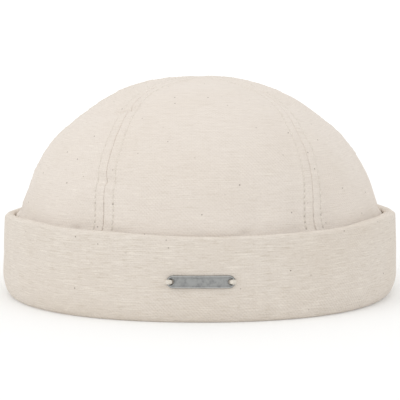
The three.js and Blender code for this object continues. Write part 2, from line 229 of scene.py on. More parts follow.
def seam_azimuth(index, place):
    """Azimuth of a seam up the crown: front and back seams turn to the sides by the profile's spread."""
    turns, seam = divmod(index, len(SEAMS))
    facing = math.pi * round(SEAMS[seam] / math.pi)
    off = SEAMS[seam] - facing
    spread = 1.0 if abs(off) > math.pi / 3 else through_rows(PROFILE["spread"], place)
    return facing + off * spread + 2 * math.pi * turns + 0 * place


def place_at_height(share):
    """Place in the profile, counted in rows, at a share of the crown's height."""
    place = np.linspace(0, APEX, 2001)
    return np.interp(share, through_rows(PROFILE["height"], place), place)


def dent_depth(points, normals):
    """Depth of dents and creases: each is a bell curve along and across its own direction on the crown."""
    depth = np.zeros(points.shape[:-1])
    for azimuth, height, length, breadth, turn, share in DENTS + CREASES:
        spot = np.array(math.radians(azimuth)), np.array(place_at_height(height))
        centre, normal = crown_body(*spot), outward(crown_body, *spot)
        level = np.cross((0, 0, 1), normal)
        level /= np.linalg.norm(level)
        up = np.cross(normal, level)
        cosine, sine = math.cos(math.radians(turn)), math.sin(math.radians(turn))
        along = (points - centre) @ (level * cosine + up * sine) / (length * HEAD_HALF_WIDTH)
        across = (points - centre) @ (up * cosine - level * sine) / (breadth * HEAD_HALF_WIDTH)
        same_side = normals @ normal > 0.3
        depth += same_side * share * CROWN_WALL * np.exp(-(along**2 + across**2) / 2)
    return depth


def seam_squeeze(width):
    """How close the columns beside a gore's seams draw together where the gore is narrow: 1 is not at all."""
    return np.minimum(1, STRIP_MOST * width / SEAM_COLUMNS[-1])


def gore_grid(index):
    """Azimuths, places, widths and distances across of a gore's grid.

    Its rows lie at even lengths up its middle. Its columns lie close together beside its two seams, and
    evenly between them.
    """
    fine = np.linspace(0, APEX, 4001)
    tip = np.interp(-TIP_SHARE, -through_rows(PROFILE["half_width"], fine), fine)
    fine = np.linspace(0, tip, 1201)
    middle = (seam_azimuth(index - 1, fine) + seam_azimuth(index, fine)) / 2
    climbed = lengths_along(crown_body(middle, fine))
    place = np.interp(np.linspace(0, climbed[-1], GORE_ROWS), climbed, fine)
    start, end = seam_azimuth(index - 1, place), seam_azimuth(index, place)
    share = np.linspace(0, 1, 161)
    azimuth = start[:, None] + (end - start)[:, None] * share
    across = lengths_along(crown_body(azimuth, place[:, None] + 0 * azimuth))
    width = across[:, -1:]
    beside = SEAM_COLUMNS * seam_squeeze(width)
    between = np.linspace(0, 1, MIDDLE_COLUMNS + 2)[1:-1]
    inner = beside[:, -1:] + (width - 2 * beside[:, -1:]) * between
    distance = np.concatenate([beside, inner, width - beside[:, ::-1]], 1)
    columns = np.array([np.interp(*row) for row in zip(distance, across, azimuth)])
    return columns, place[:, None] + 0 * columns, width, distance


def stitch_wave(length):
    """1 in the middle of a stitch and 0 at its needle holes, along a seam."""
    return 0.5 - 0.5 * np.cos(2 * math.pi * length / STITCH_PITCH)


def seam_relief(distance, climbed, squeeze, seed):
    """Height of the cloth beside a seam.

    It adds up a quarter circle at the turned edge, a doubled strip that ends in an S-curve, a bell-shaped
    channel under the stitches that is shallow in the middle of each, and puckers as sine waves that die away
    from it.
    """
    off = distance / squeeze
    edge = np.clip(1 - distance / ROLL, 0, 1)
    roll = -ROLL * (1 - np.sqrt(1 - edge**2))
    doubled = RIDGE / (1 + np.exp((off - STITCH_ROW - RIDGE_PAST) / RIDGE_FADE))
    drawn = np.exp(-(((off - STITCH_ROW) / CHANNEL_HALF) ** 2))
    channel = -CHANNEL * drawn * (1 - 0.75 * stitch_wave(climbed))
    random = np.random.default_rng(seed)
    pucker = np.zeros_like(off)
    for size in PUCKER_SIZES:
        lean = random.uniform(-0.5, 0.5)
        phase = random.uniform(0, 2 * math.pi)
        pucker += np.sin(2 * math.pi * (climbed + lean * off) / size + phase) / len(PUCKER_SIZES)
    fade = np.exp(-((np.maximum(off - STITCH_ROW, 0) / PUCKER_FADE) ** 2))
    gather = PUCKER * pucker * fade * np.clip(off / ROLL, 0, 1)
    return roll + squeeze * (doubled + channel + gather)


def needle_hole_shade(distance, climbed, squeeze, seed):
    """Painted shade in the needle holes: a bell across the stitch row with a peak between each two stitches.

    The shade is darkest near the crown's lower edge, where the thread is drawn tight. The seam itself gets
    painted shade in its holes there too.
    """
    row = np.exp(-(((distance / squeeze - STITCH_ROW) / NEEDLE_HALF) ** 2))
    seam = np.exp(-((distance / SEAM_HALF) ** 2))
    tight = np.exp(-(((climbed - TIGHT_AT) / TIGHT_OVER) ** 2))
    random = np.random.default_rng(seed)
    whole_row = random.uniform(0.35, 1)
    each = random.uniform(0.3, 1, MOST_STITCHES)
    each = np.interp(climbed / STITCH_PITCH, np.arange(MOST_STITCHES), each)
    strength = whole_row * row * (LOOSE_HOLE_SHADE + (1 - LOOSE_HOLE_SHADE) * tight) + SEAM_HOLE_SHADE * seam * tight
    return strength * each * (1 - stitch_wave(climbed)) ** 2


def gore_surface(index):
    """Outer points, normals, cloth coordinates and painted needle-hole shade of a gore.

    The dome is raised by the gore's puff, its seam relief and soft waves, and lowered by the dents.
    """
    azimuth, place, width, distance = gore_grid(index)
    points = crown_body(azimuth, place)
    climbed = lengths_along(points.transpose(1, 0, 2)).T
    normals = outward(crown_body, azimuth, np.clip(place, 1e-3, APEX - 1e-3))
    squeeze = seam_squeeze(width)
    share = distance / width
    puff = PANEL_PUFF * np.sin(math.pi * share) ** 2 * np.sin(math.pi * place / APEX)
    relief = np.where(
        share < 0.5,
        seam_relief(distance, climbed, squeeze, seed=40 + index),
        seam_relief(width - distance, climbed, squeeze, seed=60 + index),
    )
    # The cloth lies calmer at the top, where the seams meet, and low down, where the cuff holds it.
    calm = np.clip((APEX - place) / 1.5, 0, 1) * np.clip((place - 2) / 2, 0.2, 1)
    uneven = waves(points, *CROWN_SWELLS, seed=5) + waves(points, *CROWN_RIPPLES, seed=6)
    raised = puff + relief + calm * uneven - dent_depth(points, normals) - SETTLE
    holes = needle_hole_shade(distance, climbed, squeeze, seed=88 + index)
    holes = holes + needle_hole_shade(width - distance, climbed, squeeze, seed=100 + index)
    return points + raised[..., None] * normals, normals, distance - width / 2, climbed, holes


def grid_faces(index):
    """Four-sided faces between the points of a grid."""
    return np.stack([index[:-1, :-1], index[:-1, 1:], index[1:, 1:], index[1:, :-1]], -1).reshape(-1, 4)


def cloth_shell(name, outer, inner, across, up):
    """Closed wall between two grids that meet at their four edges, with its cloth coordinates as UV map."""
    rows, columns = outer.shape[:2]
    count = rows * columns
    index = np.arange(count).reshape(rows, columns)
    face = grid_faces(index)
    rim = np.concatenate([index[0, :-1], index[:-1, -1], index[-1, :0:-1], index[:0:-1, 0]])
    following = np.roll(rim, -1)
    walls = np.stack([rim, rim + count, following + count, following], -1)
    faces = np.concatenate([face, face[:, ::-1] + count, walls])
    points = np.concatenate([outer.reshape(-1, 3), inner.reshape(-1, 3)])
    flat = np.stack(np.broadcast_arrays(across, up), -1).reshape(-1, 2)
    return smooth_piece(name, points, faces, np.concatenate([flat, flat])[faces.ravel()])


def smooth_piece(name, points, faces, uv=(0, 0)):
    """Smooth mesh object from points, four-sided faces and one UV pair in metres for each face corner."""
    mesh = bpy.data.meshes.new(name)
    mesh.vertices.add(len(points))
    mesh.vertices.foreach_set("co", points.astype(np.float32).ravel())
    mesh.loops.add(faces.size)
    mesh.loops.foreach_set("vertex_index", faces.astype(np.int32).ravel())
    mesh.polygons.add(len(faces))
    mesh.polygons.foreach_set("loop_start", np.arange(0, faces.size, 4, dtype=np.int32))
    mesh.update(calc_edges=True)
    uv = np.broadcast_to(np.asarray(uv, np.float32), (faces.size, 2))
    mesh.uv_layers.new(name="cloth").data.foreach_set("uv", uv.ravel())
    mesh.shade_smooth()
    piece = bpy.data.objects.new(name, mesh)
    bpy.context.scene.collection.objects.link(piece)
    return piece


def linear(hex_colour):
    """Linear colour with alpha from an sRGB hex value."""
    parts = [int(hex_colour[start : start + 2], 16) / 255 for start in (1, 3, 5)]
    return (*(part / 12.92 if part <= 0.04045 else ((part + 0.055) / 1.055) ** 2.4 for part in parts), 1.0)


def add(tree, kind, values=(), links=(), **settings):
    """Adds a node: settings are its properties, values its unlinked inputs and links its linked ones.

    Inputs go by name, or by number where a name isn't unique: a range runs from 1 and 2 to 3 and 4, and a mix
    has its colours at 6 and 7.
    """
    node = tree.nodes.new(kind)
    for key, value in settings.items():
        setattr(node, key, value)
    for key, value in dict(values).items():
        node.inputs[key].default_value = value
    for key, socket in dict(links).items():
        tree.links.new(socket, node.inputs[key])
    return node


def blank_finish(name, **shader):
    """Material with only its shader and output: gives the material, its tree and the shader."""
    finish = bpy.data.materials.new(name)
    finish.use_nodes = True
    tree = finish.node_tree
    tree.nodes.clear()
    inputs = {key.replace("_", " "): value for key, value in shader.items()}
    principled = add(tree, "ShaderNodeBsdfPrincipled", inputs)
    add(tree, "ShaderNodeOutputMaterial", links={"Surface": principled.outputs["BSDF"]})
    return finish, tree, principled


def unbleached_canvas(name, colour, slubs, flecks):
    """Unbleached cotton canvas in plain weave: a warm off-white, matt, with short level streaks.

    Slubs is how strongly the thick and thin places of its threads show. Dark bits of seed coat lie here and
    there, and flecks is about how many millimetres they are apart. Painted shade darkens the needle holes
    and the low places of the weave.
    """
    finish, tree, shader = blank_finish(name, Roughness=0.93, Sheen_Weight=0.1, Sheen_Roughness=0.5)
    shader.inputs["Specular IOR Level"].default_value = 0.25
    cloth = add(tree, "ShaderNodeUVMap", uv_map="cloth").outputs[0]
    ground = add(tree, "ShaderNodeRGB").outputs[0]
    ground.default_value = linear(colour)
    height = None
    for number, (tone, across, up, low, high, amount, thick) in enumerate(CLOTH_GRAINS):
        size = {"Scale": (1000 / across, 1000 / up, 1), "Location": (7.3 * number,) * 3}
        placed = add(tree, "ShaderNodeMapping", size, {"Vector": cloth}).outputs[0]
        look = {"Scale": 1.0, "Detail": 2.0, "Roughness": 0.55}
        grain = add(tree, "ShaderNodeTexNoise", look, {"Vector": placed}, noise_dimensions="2D").outputs[0]
        strength = add(tree, "ShaderNodeMapRange", {1: low, 2: high}, {0: grain}).outputs[0]
        tinting, standing = amount * slubs, thick * slubs * MM
        tint = add(tree, "ShaderNodeMath", {1: tinting}, {0: strength}, operation="MULTIPLY").outputs[0]
        mixed = add(tree, "ShaderNodeMix", {7: linear(tone)}, {0: tint, 6: ground}, data_type="RGBA")
        ground = mixed.outputs[2]
        links = {0: strength} if height is None else {0: strength, 2: height}
        height = add(tree, "ShaderNodeMath", {1: standing}, links, operation="MULTIPLY_ADD").outputs[0]

    # The product of two sines makes a checkerboard of threads that pass over and under.
    spacing = (math.pi / THREAD_SPACING, math.pi / THREAD_SPACING, 1)
    placed = add(tree, "ShaderNodeMapping", {"Scale": spacing}, {"Vector": cloth}).outputs[0]
    parts = add(tree, "ShaderNodeSeparateXYZ", links={0: placed}).outputs
    weft = add(tree, "ShaderNodeMath", links={0: parts["X"]}, operation="SINE").outputs[0]
    warp = add(tree, "ShaderNodeMath", links={0: parts["Y"]}, operation="SINE").outputs[0]
    over = add(tree, "ShaderNodeMath", links={0: weft, 1: warp}, operation="MULTIPLY").outputs[0]
    weave = {1: WEAVE_DEPTH}
    height = add(tree, "ShaderNodeMath", weave, {0: over, 2: height}, operation="MULTIPLY_ADD").outputs[0]
    # Painted shade darkens the low places of the weave, where a thread dips under its neighbour.
    weave_hollow_shade = add(tree, "ShaderNodeMapRange", {1: -0.2, 2: -1.0, 4: 0.12}, {0: over}).outputs[0]

    # Each cell of the pattern may hold one fleck at its middle.
    cell = (1000 / flecks, 1000 / flecks, 1)
    placed = {"Vector": add(tree, "ShaderNodeMapping", {"Scale": cell}, {"Vector": cloth}).outputs[0]}
    seeds = add(tree, "ShaderNodeTexVoronoi", {"Scale": 1.0}, placed, voronoi_dimensions="2D").outputs
    chance = add(tree, "ShaderNodeSeparateColor", links={0: seeds["Color"]}).outputs[0]
    chosen = add(tree, "ShaderNodeMapRange", {1: 0.3, 2: 0.85, 4: 0.7}, {0: chance}).outputs[0]
    fade = {1: FLECK_EDGE / flecks, 2: FLECK_HEART / flecks}
    near = add(tree, "ShaderNodeMapRange", fade, {0: seeds["Distance"]}).outputs[0]
    fleck = add(tree, "ShaderNodeMath", links={0: chosen, 1: near}, operation="MULTIPLY").outputs[0]
    # Painted shade in the needle holes, read from the cloth's attribute.
    hole = add(tree, "ShaderNodeAttribute", attribute_name="hole_shade").outputs["Fac"]
    painted_hole_shade = add(tree, "ShaderNodeMath", {1: 0.95}, {0: hole}, operation="MULTIPLY").outputs[0]
    for tone, share in (("#bcae99", weave_hollow_shade), ("#564532", fleck), ("#5c4d3c", painted_hole_shade)):
        mixed = add(tree, "ShaderNodeMix", {7: linear(tone)}, {0: share, 6: ground}, data_type="RGBA")
        ground = mixed.outputs[2]
    tree.links.new(ground, shader.inputs["Base Color"])
    bump = add(tree, "ShaderNodeBump", {"Strength": 1.0, "Distance": 1.0}, {"Height": height})
    tree.links.new(bump.outputs[0], shader.inputs["Normal"])
    return finish


canvas = unbleached_canvas("unbleached_cotton_canvas", "#dfd6cd", slubs=0.7, flecks=13)
for number, gore in enumerate(GORES):
    outer, normals, across, up, holes = gore_surface(number)
    inner = outer - CROWN_WALL * normals
    # Each gore is cut from another place of the cloth, so that its streaks differ.
    cloth_piece = cloth_shell(gore + "_cloth", outer, inner, across + 0.31 * number, up + 0.17 * number)
    # The painted shade of the needle holes goes on the outer face only.
    hole_shade = cloth_piece.data.attributes.new("hole_shade", "FLOAT", "POINT")
    hole_shade.data.foreach_set("value", np.concatenate([holes.ravel(), 0 * holes.ravel()]).astype(np.float32))
    cloth_piece.data.materials.append(canvas)
    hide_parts(gore)
    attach(cloth_piece, "root")


# Cuff
# A band of doubled canvas that is one with the crown's lower edge, turned up round it and standing a little
# off it. Its lower fold is soft and rounded, its rim is a plain fold that rises and dips, and its ends are
# joined at the back.

CUFF_WALL = 2.8 * MM
TROUGH = 2.8 * MM  # between the crown's lower edge and the band
CUFF_HEIGHT = 36.5 * MM
FOLD_INSET = 3.9 * MM
FOLD_RISE = 11 * MM
RIM_INSET = 0.9 * MM
RIM_WAVER = 38 * MM, 0.1 * MM  # size and height
CUFF_SWELLS = 42 * MM, 0.2 * MM
CUFF_RIPPLES = 14 * MM, 0.07 * MM
HEM_ROOM = 0.85 * MM  # what the soft fold at the rim leaves of the gap between the band and the crown
HEM_MOST = 3.6 * MM
HEM_DROP = 1.0 * MM  # from the rim down to where the soft fold is thickest
HEM_SPREAD = 2.4 * MM
JOIN_DEPTH = 0.7 * MM
JOIN_HALF = 0.6 * MM
JOIN_RIDGE = 0.25 * MM
JOIN_REACH = 4 * MM  # how far the doubled cloth beside the join reaches
CUFF_STEPS = 560

# Tables of 24 rows at even angles, from the back round over the left, the front and the right. They hold the
# rim's height as a share of the cuff's, how far the band stands out as a share of its wall, and how far its
# fold is drawn in as a share of the fold's inset.
CUFF_RIM = (
    0.95, 0.95, 0.94, 0.935, 0.938, 0.951, 0.983, 1.02, 1.037, 1.034, 1.02, 1.003,
    0.992, 0.991, 1.006, 1.03, 1.055, 1.045, 1.008, 0.995, 0.98, 0.97, 0.96, 0.95,
)
CUFF_PUSH = (
    -0.3, -0.28, -0.2, -0.1, -0.02, -0.02, -0.12, -0.14, -0.12, -0.08, -0.16, -0.26,
    -0.3, -0.24, -0.16, -0.14, -0.08, -0.02, 0, 0.04, -0.02, -0.1, -0.2, -0.26,
)
CUFF_FOLD = (
    1, 1, 1, 1, 1, 1.05, 1.1, 1.05, 1, 1, 1, 1,
    1, 1, 1.03, 1.15, 1.35, 1.5, 1.4, 1.15, 1.03, 1, 1, 1,
)
cuff_half_width = crown_half_width + TROUGH + CUFF_WALL
cuff_half_length = crown_half_length + TROUGH + CUFF_WALL
foot_reach = CUFF_WALL + TROUGH + CROWN_WALL


def round_cuff(column, azimuth):
    """Value of a cuff table at an azimuth: a cubic through its rows, which close up at the back."""
    count = len(column)
    place = (azimuth / (2 * math.pi) + 0.5) * count % count
    return through_rows((column[-1], *column, column[0], column[1]), place + 1)


def rim_height(azimuth):
    """Height of the rim: its table, with a slight waver of the folded edge."""
    ring = oval(cuff_half_width, cuff_half_length, azimuth, 0.0)
    return CUFF_HEIGHT * round_cuff(CUFF_RIM, azimuth) + waves(ring, *RIM_WAVER, seed=11)


def cuff_inset(z, fold, rim):
    """Inset of the cuff's face from its widest oval: a quarter ellipse in the fold, a slow lean above it."""
    curve = fold * (1 - np.sqrt(1 - np.clip(1 - z / FOLD_RISE, 0, 1) ** 2))
    return curve + RIM_INSET * np.clip((z - FOLD_RISE) / (rim - FOLD_RISE), 0, 1) ** 2


def cuff_point(azimuth, inset, z):
    """Point of the cuff inside its widest oval, pushed in and out round the cap, but not at its foot."""
    out = CUFF_WALL * round_cuff(CUFF_PUSH, azimuth) * np.clip(z / FOLD_RISE, 0, 1) - inset
    return oval(cuff_half_width + out, cuff_half_length + out, azimuth, z)


def cuff_face(azimuth, z):
    """The cuff's outer face by azimuth and height."""
    fold = FOLD_INSET * round_cuff(CUFF_FOLD, azimuth)
    return cuff_point(azimuth, cuff_inset(z, fold, rim_height(azimuth)), z)


def hem_thickness(azimuth, z, rim):
    """Thickness of the band: its wall and, just below the rim, a bell curve of loose cloth on its inside.

    The loose cloth fills the gap to the crown there but for a little room. The gap is a mean of those at the
    sides and at the ends, weighted by the square of the azimuth's sine.
    """
    place = place_at_height((rim - HEM_DROP - crown_base) / (crown_top - crown_base))
    side_gap = cuff_half_width - crown_half_width * through_rows(PROFILE["half_width"], place)
    end_gap = cuff_half_length - crown_half_length * through_rows(PROFILE["half_length"], place)
    gap = end_gap + (side_gap - end_gap) * np.sin(azimuth) ** 2 - RIM_INSET
    gap += CUFF_WALL * (round_cuff(CUFF_PUSH, azimuth) - 1)
    loose = np.clip(gap - HEM_ROOM, 0, HEM_MOST)
    return CUFF_WALL + loose * np.exp(-(((rim - z - HEM_DROP) / HEM_SPREAD) ** 2))


def cuff_section(azimuth):
    """Insets and heights round the cuff's section, one row each.

    They run out under the foot, up the fold and the face, over the rim on half an ellipse, down the inside
    and back along the top of the foot.
    """
    fold, rim = FOLD_INSET * round_cuff(CUFF_FOLD, azimuth), rim_height(azimuth)
    radius = CUFF_WALL / 2
    shoulder = rim - radius
    turn = np.linspace(0, math.pi / 2, 15)[:, None]
    climb = np.linspace(0, 1, 26)[1:, None]
    over = np.linspace(0, math.pi, 11)[1:-1, None]
    fold_z = FOLD_RISE * (1 - np.cos(turn)) + 0 * rim
    face_z = np.concatenate([fold_z, FOLD_RISE + (shoulder - FOLD_RISE) * climb])
    face_inset = cuff_inset(face_z, fold, rim)
    top_inset = face_inset[-1] + hem_thickness(azimuth, shoulder, rim) / 2 * (1 - np.cos(over))
    top_z = shoulder + radius * np.sin(over)
    back_z = np.maximum(face_z[::-2][:-3], CUFF_WALL)
    back_inset = cuff_inset(back_z, fold, rim) + hem_thickness(azimuth, back_z, rim)
    foot = np.linspace(0, 1, 5)[1:, None]
    foot_inset = back_inset[-1] + (foot_reach - back_inset[-1]) * foot
    land = np.linspace(0, 1, 5)[:-1, None]
    land_inset = foot_reach + (fold - foot_reach) * land
    inset = np.concatenate([land_inset, face_inset, top_inset, back_inset, foot_inset])
    z = np.concatenate([0 * land_inset, face_z, top_z, back_z, CUFF_WALL + 0 * foot_inset])
    return inset, z


azimuth = np.linspace(0, 2 * math.pi, CUFF_STEPS, endpoint=False) - math.pi
inset, height = cuff_section(azimuth)
band = cuff_point(azimuth + 0 * inset, inset, height)
ring = oval(cuff_half_width, cuff_half_length, np.linspace(-math.pi, math.pi, CUFF_STEPS + 1), 0.0)
ring_length = lengths_along(ring)
flat_out = oval(1.0, 1.0, azimuth, 0.0)
flat_out /= np.linalg.norm(flat_out, axis=-1, keepdims=True)
uneven = waves(band * (1, 1, 0.5), *CUFF_SWELLS, seed=21) + waves(band, *CUFF_RIPPLES, seed=22)
to_join = np.minimum(ring_length[:-1], ring_length[-1] - ring_length[:-1])
join = -JOIN_DEPTH * np.exp(-((to_join / JOIN_HALF) ** 2))
join += JOIN_RIDGE * np.exp(-((to_join / JOIN_REACH) ** 4))
on_face = inset < CUFF_WALL / 2 + RIM_INSET
lift = np.clip(height / FOLD_RISE, 0, 1) * (uneven + join * on_face)
band = band + lift[..., None] * flat_out
index = np.arange(band[..., 0].size).reshape(band.shape[:2])
above = np.roll(index, -1, 0)
faces = np.stack([index, np.roll(index, -1, 1), np.roll(above, -1, 1), above], -1).reshape(-1, 4)
climbed = lengths_along(band.transpose(1, 0, 2)).T
closing = np.linalg.norm(band[-1] - band[0], axis=-1)
left_u, right_u = ring_length[:-1] + 0 * climbed, ring_length[1:] + 0 * climbed
upper_v = np.concatenate([climbed[1:], climbed[-1:] + closing])
uv = np.stack(
    [
        np.stack([left_u, climbed], -1),
        np.stack([right_u, np.roll(climbed, -1, 1)], -1),
        np.stack([right_u, np.roll(upper_v, -1, 1)], -1),
        np.stack([left_u, upper_v], -1),
    ],
    2,
).reshape(-1, 2)
cuff = smooth_piece("cuff_cloth", band.reshape(-1, 3), faces, uv + 2.3)
# The turned-up side is the cloth's other face, with stronger streaks; its colour is made a little darker as
# painted shade.
shaded_reverse = unbleached_canvas("unbleached_cotton_canvas_reverse", "#dbd2c8", slubs=1.2, flecks=16)
cuff.data.materials.append(shaded_reverse)
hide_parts("cuff")
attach(cuff, "root")


# Topstitching
# Two rows of cream cotton thread along each seam of the crown, 4.7 mm to its left and right, as a twin-needle
# machine sews them. Each stitch is a short arch of thread that dips into its needle holes at both ends.

THREAD_RADIUS = 0.2 * MM
STITCH_SHARE = 0.8  # of the pitch that shows between two needle holes
STITCH_RINGS = 7
STITCH_SIDES = 6
PROUD = 0.05 * MM  # how far the middle of a stitch stands off the cloth
DIP = 0.25 * MM
SEWN_SHORT = 9 * MM  # of a seam's length at the top is left without stitches


def tubes(paths, normals, radius, sides):
    """Closed tubes round many paths at once: at each point a ring of a given radius, square to the path.

    Gives points and four-sided faces. Flat fans of faces close both ends.
    """
    count, steps = paths.shape[:2]
    tangent = np.gradient(paths, axis=1)
    tangent /= np.linalg.norm(tangent, axis=-1, keepdims=True)
    side = np.cross(tangent, normals)
    side /= np.linalg.norm(side, axis=-1, keepdims=True)
    up = np.cross(side, tangent)
    angle = 2 * math.pi * np.arange(sides) / sides
    ring = np.cos(angle)[:, None] * side[..., None, :] + np.sin(angle)[:, None] * up[..., None, :]
    points = paths[..., None, :] + np.broadcast_to(radius, (count, steps))[..., None, None] * ring
    index = np.arange(count * steps * sides).reshape(count, steps, sides)
    turned = np.roll(index, -1, 2)
    body = np.stack([index[:, :-1], turned[:, :-1], turned[:, 1:], index[:, 1:]], -1).reshape(-1, 4)
    caps = []
    for end, flip in ((index[:, 0], True), (index[:, -1], False)):
        for corner in range(1, sides - 1, 2):
            cap = np.stack([end[:, 0], end[:, corner], end[:, corner + 1], end[:, corner + 2]], -1)
            caps.append(cap[:, ::-1] if flip else cap)
    return points.reshape(-1, 3), np.concatenate([body, *caps])


def stitch_paths(index, side):
    """Middle lines of a row's stitches and the normals beside them.

    They follow the gore's column at the stitch row, cut into even pitches, each arched by a cube.
    """
    outer, normals, _, climbed, _ = gore_surface(index)
    column = int(np.argmin(np.abs(SEAM_COLUMNS - STITCH_ROW)))
    column = column if side > 0 else outer.shape[1] - 1 - column
    line, facing, climbed = outer[:, column], normals[:, column], climbed[:, column]
    starts = np.arange(0.5 * STITCH_PITCH, climbed[-1] - SEWN_SHORT, STITCH_PITCH)
    share = np.linspace(-0.5, 0.5, STITCH_RINGS)
    along = starts[:, None] + share * STITCH_SHARE * STITCH_PITCH
    points = np.stack([np.interp(along, climbed, line[:, axis]) for axis in range(3)], -1)
    outs = np.stack([np.interp(along, climbed, facing[:, axis]) for axis in range(3)], -1)
    arch = PROUD - (PROUD + DIP) * np.abs(2 * share) ** 3
    return points + arch[:, None] * outs, outs


def cotton_thread(name):
    """Cream cotton sewing thread: matt, with a fine twist that darkens between its plies."""
    finish, tree, shader = blank_finish(name, Roughness=0.85, Sheen_Weight=0.15)
    place = add(tree, "ShaderNodeTexCoord").outputs["Object"]
    look = {"Scale": 1 / (0.5 * MM), "Detail": 1.0}
    ply = add(tree, "ShaderNodeTexNoise", look, {"Vector": place}).outputs[0]
    dark = add(tree, "ShaderNodeMapRange", {1: 0.4, 2: 0.75, 4: 0.5}, {0: ply}).outputs[0]
    tones = {6: linear("#e6e0d6"), 7: linear("#b5a996")}
    shade = add(tree, "ShaderNodeMix", tones, {0: dark}, data_type="RGBA").outputs[2]
    tree.links.new(shade, shader.inputs["Base Color"])
    bump = add(tree, "ShaderNodeBump", {"Strength": 0.6, "Distance": 0.08 * MM}, {"Height": ply})
    tree.links.new(bump.outputs[0], shader.inputs["Normal"])
    return finish


sewing_thread = cotton_thread("cream_cotton_thread")
for number, gore in enumerate(GORES):
    paths, outs = (np.concatenate(rows) for rows in zip(*(stitch_paths(number, side) for side in (1, -1))))
    thin = THREAD_RADIUS * (1 - np.abs(np.linspace(-1, 1, STITCH_RINGS)) ** 6 * 0.5)
    stitches = smooth_piece(gore + "_stitches", *tubes(paths, outs, thin, STITCH_SIDES))
    stitches.data.materials.append(sewing_thread)
    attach(stitches, "root")


# Plate
# A small bar of pewter-coloured metal with round ends and a low raised border, bent to the cuff, with a hole
# at each end. It is stamped and darkened, and then rubbed bright on its border. Its field is bare. Painted
# shade darkens its outline, and patina with painted shade darkens the rims of its holes.

plate_low, plate_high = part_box("plate")
plate_height = (plate_low.z + plate_high.z) / 2
PLATE_LENGTH = 28.5 * MM
PLATE_RADIUS = (plate_high.z - plate_low.z) / 2
PLATE_THICKNESS = 0.8 * MM
PLATE_ASIDE = 0.4 * MM
SEAT_GAP = 0.3 * MM
HOLE_RADIUS = 1.1 * MM
HOLE_ALONG = PLATE_LENGTH / 2 - 1.85 * MM
BORDER = 0.2 * MM
BORDER_WIDTH = 0.62 * MM
BORDER_FADE = 0.06 * MM
EDGE_ROUND = 0.28 * MM
RUBBED_AT = 0.4 * MM  # from the plate's outline to the bright middle of its border
RUBBED_HALF = 0.22 * MM
GROOVE_AT = 0.85 * MM  # from the outline to the dark line inside the border
GROOVE_HALF = 0.18 * MM
# Reaches of the painted shade along the outline and of the patina with painted shade round the holes
EDGE_DARK = 0.12 * MM
HOLE_DARK = 0.3 * MM
WELD = 0.002 * MM  # points closer than this are one


def off_cuff(along, up, out):
    """Points off the cuff's face: along it to the right of the plate's middle, up from there, and out."""
    # Azimuths a little to both sides of the front, and how far along the cuff they lie from it.
    angle = np.linspace(-0.4, 0.4, 801)
    length = lengths_along(cuff_face(angle, plate_height + 0 * angle))
    length -= np.interp(0, angle, length)
    turned = np.interp(PLATE_ASIDE + along, length, angle)
    z = plate_height + up
    slope = cuff_face(turned + 1e-3, z) - cuff_face(turned - 1e-3, z)
    facing = np.cross(slope, (0, 0, 1.0))
    facing /= np.linalg.norm(facing, axis=-1, keepdims=True)
    return cuff_face(turned, z) + out[..., None] * facing


def half_outline(steps_end, steps_side, steps_middle):
    """Outline of the plate's right half as seen from the front, and how many of its steps lie on the outside.

    It runs from the plate's middle along the bottom, round the end, back along the top and down the middle
    line, which is the join with the other half.
    """
    straight = PLATE_LENGTH / 2 - PLATE_RADIUS
    side = np.linspace(0, straight, steps_side, endpoint=False)
    angle = np.linspace(-math.pi / 2, math.pi / 2, steps_end, endpoint=False)
    middle = np.linspace(PLATE_RADIUS, -PLATE_RADIUS, steps_middle, endpoint=False)
    end_x, end_y = straight + PLATE_RADIUS * np.cos(angle), PLATE_RADIUS * np.sin(angle)
    x = np.concatenate([side, end_x, straight - side, 0 * middle])
    y = np.concatenate([0 * side - PLATE_RADIUS, end_y, 0 * side + PLATE_RADIUS, middle])
    return x, y, steps_end + 2 * steps_side


